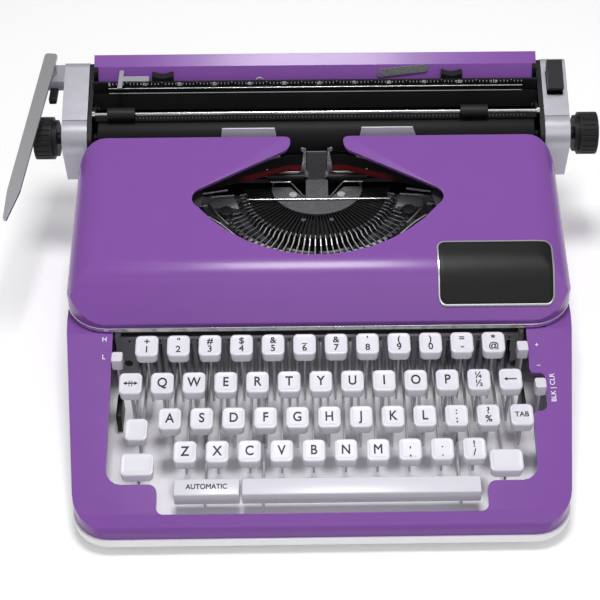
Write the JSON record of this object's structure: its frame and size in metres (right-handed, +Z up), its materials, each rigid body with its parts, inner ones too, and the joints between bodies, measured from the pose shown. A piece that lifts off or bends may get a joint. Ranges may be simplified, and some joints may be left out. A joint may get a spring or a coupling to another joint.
{
  "type": "manual_typewriter",
  "caption": "Portable manual typewriter in violet enamel with a hinged ribbon cover, pale keys, a type basket and a sliding carriage.",
  "frame": {"origin": "on the table, below the middle of the whole machine's box", "axes": "X along the carriage to the typist's right, Y away from the typist, Z up"},
  "size_m": [0.3799, 0.3078, 0.133],
  "materials": {
    "violet_paint": "satin enamel with a soft sheen",
    "pale_enamel": "satin pale enamel",
    "silver_paint": "silver lacquer, softly glossy",
    "black_paint": "semi-matt black enamel",
    "bright_chrome": "polished plate",
    "bright_steel": "bare steel, lightly brushed",
    "grey_steel": "dull phosphated steel",
    "black_steel": "blackened casting",
    "key_plastic": "moulded, softly glossy",
    "black_plastic": "moulded, slightly grained",
    "platen_rubber": "ground hard rubber",
    "foot_rubber": "soft moulded rubber",
    "ink_ribbon": "inked woven band"
  },
  "bodies": {
    "root": {"base_pan": "pale_enamel", "keyboard_housing": "violet_paint", "rubber_feet": "foot_rubber", "chassis_frame": "grey_steel", "type_segment": "black_steel", "typebars": "bright_steel", "type_guide": "bright_steel", "ribbon": "ink_ribbon"},
    "cover": {"top_cover": "violet_paint", "cover_trim": "bright_chrome"},
    "carriage": {"carriage_frame": "black_paint", "carriage_end_covers": "silver_paint", "paper_table": "violet_paint"},
    "platen": {"platen": "platen_rubber"},
    "return_lever": {"return_lever": "bright_chrome"},
    "paper_bail": {"paper_bail": "bright_chrome"},
    "paper_release_lever": {"paper_release_lever": "black_plastic"},
    "left_margin_stop": {"left_margin_stop": "black_plastic"},
    "right_margin_stop": {"right_margin_stop": "black_plastic"},
    "paper_guide": {"paper_guide": "bright_chrome"},
    "paper_support_arm": {"paper_support_arm": "bright_steel"},
    "touch_lever": {"touch_lever": "key_plastic"},
    "impression_lever": {"impression_lever": "key_plastic"},
    "ribbon_selector": {"ribbon_selector": "key_plastic"},
    "left_spool": {"left_spool": "grey_steel"},
    "right_spool": {"right_spool": "grey_steel"},
    "space_bar": {"space_bar": "key_plastic"},
    "repeat_bar": {"repeat_bar": "key_plastic"},
    "shift_keys": {"shift_keys": "key_plastic"},
    "tab_key": {"tab_key": "key_plastic"},
    "backspace_key": {"backspace_key": "key_plastic"},
    "margin_release_key": {"margin_release_key": "key_plastic"},
    "number_row_keys": {"number_row_keys": "key_plastic"},
    "punctuation_keys": {"punctuation_keys": "key_plastic"},
    "key_q": {"key_q": "key_plastic"},
    "key_w": {"key_w": "key_plastic"},
    "key_e": {"key_e": "key_plastic"},
    "key_r": {"key_r": "key_plastic"},
    "key_t": {"key_t": "key_plastic"},
    "key_y": {"key_y": "key_plastic"},
    "key_u": {"key_u": "key_plastic"},
    "key_i": {"key_i": "key_plastic"},
    "key_o": {"key_o": "key_plastic"},
    "key_p": {"key_p": "key_plastic"},
    "key_a": {"key_a": "key_plastic"},
    "key_s": {"key_s": "key_plastic"},
    "key_d": {"key_d": "key_plastic"},
    "key_f": {"key_f": "key_plastic"},
    "key_g": {"key_g": "key_plastic"},
    "key_h": {"key_h": "key_plastic"},
    "key_j": {"key_j": "key_plastic"},
    "key_k": {"key_k": "key_plastic"},
    "key_l": {"key_l": "key_plastic"},
    "key_z": {"key_z": "key_plastic"},
    "key_x": {"key_x": "key_plastic"},
    "key_c": {"key_c": "key_plastic"},
    "key_v": {"key_v": "key_plastic"},
    "key_b": {"key_b": "key_plastic"},
    "key_n": {"key_n": "key_plastic"},
    "key_m": {"key_m": "key_plastic"}
  },
  "joints": [
    {"name": "cover_hinge", "type": "hinge", "parent": "root", "child": "cover", "pos_m": [0.00441, 0.08605, 0.1069], "axis": [-1, 0, 0], "range_deg": [0, 60]},
    {"name": "carriage_slide", "type": "slide", "parent": "root", "child": "carriage", "axis": [-1, 0, 0], "range_m": [-0.11, 0.11]},
    {"name": "platen_turn", "type": "hinge", "parent": "carriage", "child": "platen", "pos_m": [0.00441, 0.11085, 0.095], "axis": [1, 0, 0], "continuous": true},
    {"name": "return_lever_swing", "type": "hinge", "parent": "carriage", "child": "return_lever", "pos_m": [-0.17209, 0.14385, 0.13], "axis": [0, 0, -1], "range_deg": [-32, 0], "stiffness_Nm_per_rad": 0.3, "springref_deg": 11.46},
    {"name": "bail_lift", "type": "hinge", "parent": "carriage", "child": "paper_bail", "pos_m": [0.00441, 0.12385, 0.1085], "axis": [-1, 0, 0], "range_deg": [0, 45], "stiffness_Nm_per_rad": 0.05, "springref_deg": -28.65},
    {"name": "release_tip", "type": "hinge", "parent": "carriage", "child": "paper_release_lever", "pos_m": [0.16241, 0.13385, 0.108], "axis": [1, 0, 0], "range_deg": [0, 15]},
    {"name": "left_stop_slide", "type": "slide", "parent": "carriage", "child": "left_margin_stop", "axis": [1, 0, 0], "range_m": [0, 0.06]},
    {"name": "right_stop_slide", "type": "slide", "parent": "carriage", "child": "right_margin_stop", "axis": [1, 0, 0], "range_m": [-0.06, 0.045]},
    {"name": "paper_guide_slide", "type": "slide", "parent": "carriage", "child": "paper_guide", "axis": [1, 0, 0], "range_m": [-0.014, 0]},
    {"name": "support_arm_swing", "type": "hinge", "parent": "carriage", "child": "paper_support_arm", "pos_m": [0.04841, 0.1427, 0.12225], "axis": [0, -0.8733, 0.4872], "range_deg": [0, 80]},
    {"name": "touch_slide", "type": "slide", "parent": "root", "child": "touch_lever", "axis": [0, 0.9449, 0.3273], "range_m": [0, 0.01]},
    {"name": "impression_slide", "type": "slide", "parent": "root", "child": "impression_lever", "axis": [0, 0.9449, 0.3273], "range_m": [-0.008, 0]},
    {"name": "selector_slide", "type": "slide", "parent": "root", "child": "ribbon_selector", "axis": [0, 0.9449, 0.3273], "range_m": [-0.004, 0.005]},
    {"name": "left_spool_turn", "type": "hinge", "parent": "root", "child": "left_spool", "pos_m": [-0.09359, 0.05185, 0.0785], "axis": [0, 0, 1], "continuous": true},
    {"name": "right_spool_turn", "type": "hinge", "parent": "root", "child": "right_spool", "pos_m": [0.10241, 0.05185, 0.0785], "axis": [0, 0, 1], "continuous": true},
    {"name": "space_bar_press", "type": "hinge", "parent": "root", "child": "space_bar", "pos_m": [0.00441, 0.03885, 0.026], "axis": [1, 0, 0], "range_deg": [0, 2.03], "stiffness_Nm_per_rad": 1.5, "springref_deg": -6.88},
    {"name": "repeat_bar_press", "type": "hinge", "parent": "root", "child": "repeat_bar", "pos_m": [0.00441, 0.03885, 0.026], "axis": [1, 0, 0], "range_deg": [0, 2.03], "stiffness_Nm_per_rad": 0.8, "springref_deg": -6.88},
    {"name": "shift_keys_press", "type": "hinge", "parent": "root", "child": "shift_keys", "pos_m": [0.00441, 0.03885, 0.026], "axis": [1, 0, 0], "range_deg": [0, 3.63], "stiffness_Nm_per_rad": 2, "springref_deg": -6.88},
    {"name": "tab_key_press", "type": "hinge", "parent": "root", "child": "tab_key", "pos_m": [0.00441, 0.03885, 0.026], "axis": [1, 0, 0], "range_deg": [0, 5.2], "stiffness_Nm_per_rad": 0.6, "springref_deg": -6.88},
    {"name": "backspace_key_press", "type": "hinge", "parent": "root", "child": "backspace_key", "pos_m": [0.00441, 0.03885, 0.026], "axis": [1, 0, 0], "range_deg": [0, 6.06], "stiffness_Nm_per_rad": 0.6, "springref_deg": -6.88},
    {"name": "margin_release_key_press", "type": "hinge", "parent": "root", "child": "margin_release_key", "pos_m": [0.00441, 0.03885, 0.026], "axis": [1, 0, 0], "range_deg": [0, 6.06], "stiffness_Nm_per_rad": 0.6, "springref_deg": -6.88},
    {"name": "number_row_keys_press", "type": "hinge", "parent": "root", "child": "number_row_keys", "pos_m": [0.00441, 0.03885, 0.026], "axis": [1, 0, 0], "range_deg": [0, 5.44], "stiffness_Nm_per_rad": 6, "springref_deg": -6.88},
    {"name": "punctuation_keys_press", "type": "hinge", "parent": "root", "child": "punctuation_keys", "pos_m": [0.00441, 0.03885, 0.026], "axis": [1, 0, 0], "range_deg": [0, 4.48], "stiffness_Nm_per_rad": 3, "springref_deg": -6.88},
    {"name": "press_q", "type": "hinge", "parent": "root", "child": "key_q", "pos_m": [0.00441, 0.03885, 0.026], "axis": [1, 0, 0], "range_deg": [0, 6.06], "stiffness_Nm_per_rad": 0.6, "springref_deg": -6.88},
    {"name": "press_w", "type": "hinge", "parent": "root", "child": "key_w", "pos_m": [0.00441, 0.03885, 0.026], "axis": [1, 0, 0], "range_deg": [0, 6.06], "stiffness_Nm_per_rad": 0.6, "springref_deg": -6.88},
    {"name": "press_e", "type": "hinge", "parent": "root", "child": "key_e", "pos_m": [0.00441, 0.03885, 0.026], "axis": [1, 0, 0], "range_deg": [0, 6.06], "stiffness_Nm_per_rad": 0.6, "springref_deg": -6.88},
    {"name": "press_r", "type": "hinge", "parent": "root", "child": "key_r", "pos_m": [0.00441, 0.03885, 0.026], "axis": [1, 0, 0], "range_deg": [0, 6.06], "stiffness_Nm_per_rad": 0.6, "springref_deg": -6.88},
    {"name": "press_t", "type": "hinge", "parent": "root", "child": "key_t", "pos_m": [0.00441, 0.03885, 0.026], "axis": [1, 0, 0], "range_deg": [0, 6.06], "stiffness_Nm_per_rad": 0.6, "springref_deg": -6.88},
    {"name": "press_y", "type": "hinge", "parent": "root", "child": "key_y", "pos_m": [0.00441, 0.03885, 0.026], "axis": [1, 0, 0], "range_deg": [0, 6.06], "stiffness_Nm_per_rad": 0.6, "springref_deg": -6.88},
    {"name": "press_u", "type": "hinge", "parent": "root", "child": "key_u", "pos_m": [0.00441, 0.03885, 0.026], "axis": [1, 0, 0], "range_deg": [0, 6.06], "stiffness_Nm_per_rad": 0.6, "springref_deg": -6.88},
    {"name": "press_i", "type": "hinge", "parent": "root", "child": "key_i", "pos_m": [0.00441, 0.03885, 0.026], "axis": [1, 0, 0], "range_deg": [0, 6.06], "stiffness_Nm_per_rad": 0.6, "springref_deg": -6.88},
    {"name": "press_o", "type": "hinge", "parent": "root", "child": "key_o", "pos_m": [0.00441, 0.03885, 0.026], "axis": [1, 0, 0], "range_deg": [0, 6.06], "stiffness_Nm_per_rad": 0.6, "springref_deg": -6.88},
    {"name": "press_p", "type": "hinge", "parent": "root", "child": "key_p", "pos_m": [0.00441, 0.03885, 0.026], "axis": [1, 0, 0], "range_deg": [0, 6.06], "stiffness_Nm_per_rad": 0.6, "springref_deg": -6.88},
    {"name": "press_a", "type": "hinge", "parent": "root", "child": "key_a", "pos_m": [0.00441, 0.03885, 0.026], "axis": [1, 0, 0], "range_deg": [0, 5.2], "stiffness_Nm_per_rad": 0.6, "springref_deg": -6.88},
    {"name": "press_s", "type": "hinge", "parent": "root", "child": "key_s", "pos_m": [0.00441, 0.03885, 0.026], "axis": [1, 0, 0], "range_deg": [0, 5.2], "stiffness_Nm_per_rad": 0.6, "springref_deg": -6.88},
    {"name": "press_d", "type": "hinge", "parent": "root", "child": "key_d", "pos_m": [0.00441, 0.03885, 0.026], "axis": [1, 0, 0], "range_deg": [0, 5.2], "stiffness_Nm_per_rad": 0.6, "springref_deg": -6.88},
    {"name": "press_f", "type": "hinge", "parent": "root", "child": "key_f", "pos_m": [0.00441, 0.03885, 0.026], "axis": [1, 0, 0], "range_deg": [0, 5.2], "stiffness_Nm_per_rad": 0.6, "springref_deg": -6.88},
    {"name": "press_g", "type": "hinge", "parent": "root", "child": "key_g", "pos_m": [0.00441, 0.03885, 0.026], "axis": [1, 0, 0], "range_deg": [0, 5.2], "stiffness_Nm_per_rad": 0.6, "springref_deg": -6.88},
    {"name": "press_h", "type": "hinge", "parent": "root", "child": "key_h", "pos_m": [0.00441, 0.03885, 0.026], "axis": [1, 0, 0], "range_deg": [0, 5.2], "stiffness_Nm_per_rad": 0.6, "springref_deg": -6.88},
    {"name": "press_j", "type": "hinge", "parent": "root", "child": "key_j", "pos_m": [0.00441, 0.03885, 0.026], "axis": [1, 0, 0], "range_deg": [0, 5.2], "stiffness_Nm_per_rad": 0.6, "springref_deg": -6.88},
    {"name": "press_k", "type": "hinge", "parent": "root", "child": "key_k", "pos_m": [0.00441, 0.03885, 0.026], "axis": [1, 0, 0], "range_deg": [0, 5.2], "stiffness_Nm_per_rad": 0.6, "springref_deg": -6.88},
    {"name": "press_l", "type": "hinge", "parent": "root", "child": "key_l", "pos_m": [0.00441, 0.03885, 0.026], "axis": [1, 0, 0], "range_deg": [0, 5.2], "stiffness_Nm_per_rad": 0.6, "springref_deg": -6.88},
    {"name": "press_z", "type": "hinge", "parent": "root", "child": "key_z", "pos_m": [0.00441, 0.03885, 0.026], "axis": [1, 0, 0], "range_deg": [0, 4.55], "stiffness_Nm_per_rad": 0.6, "springref_deg": -6.88},
    {"name": "press_x", "type": "hinge", "parent": "root", "child": "key_x", "pos_m": [0.00441, 0.03885, 0.026], "axis": [1, 0, 0], "range_deg": [0, 4.55], "stiffness_Nm_per_rad": 0.6, "springref_deg": -6.88},
    {"name": "press_c", "type": "hinge", "parent": "root", "child": "key_c", "pos_m": [0.00441, 0.03885, 0.026], "axis": [1, 0, 0], "range_deg": [0, 4.55], "stiffness_Nm_per_rad": 0.6, "springref_deg": -6.88},
    {"name": "press_v", "type": "hinge", "parent": "root", "child": "key_v", "pos_m": [0.00441, 0.03885, 0.026], "axis": [1, 0, 0], "range_deg": [0, 4.55], "stiffness_Nm_per_rad": 0.6, "springref_deg": -6.88},
    {"name": "press_b", "type": "hinge", "parent": "root", "child": "key_b", "pos_m": [0.00441, 0.03885, 0.026], "axis": [1, 0, 0], "range_deg": [0, 4.55], "stiffness_Nm_per_rad": 0.6, "springref_deg": -6.88},
    {"name": "press_n", "type": "hinge", "parent": "root", "child": "key_n", "pos_m": [0.00441, 0.03885, 0.026], "axis": [1, 0, 0], "range_deg": [0, 4.55], "stiffness_Nm_per_rad": 0.6, "springref_deg": -6.88},
    {"name": "press_m", "type": "hinge", "parent": "root", "child": "key_m", "pos_m": [0.00441, 0.03885, 0.026], "axis": [1, 0, 0], "range_deg": [0, 4.55], "stiffness_Nm_per_rad": 0.6, "springref_deg": -6.88}
  ],
  "couplings": [
    {"joint": "right_spool_turn", "follows": "left_spool_turn", "ratio": 1}
  ]
}
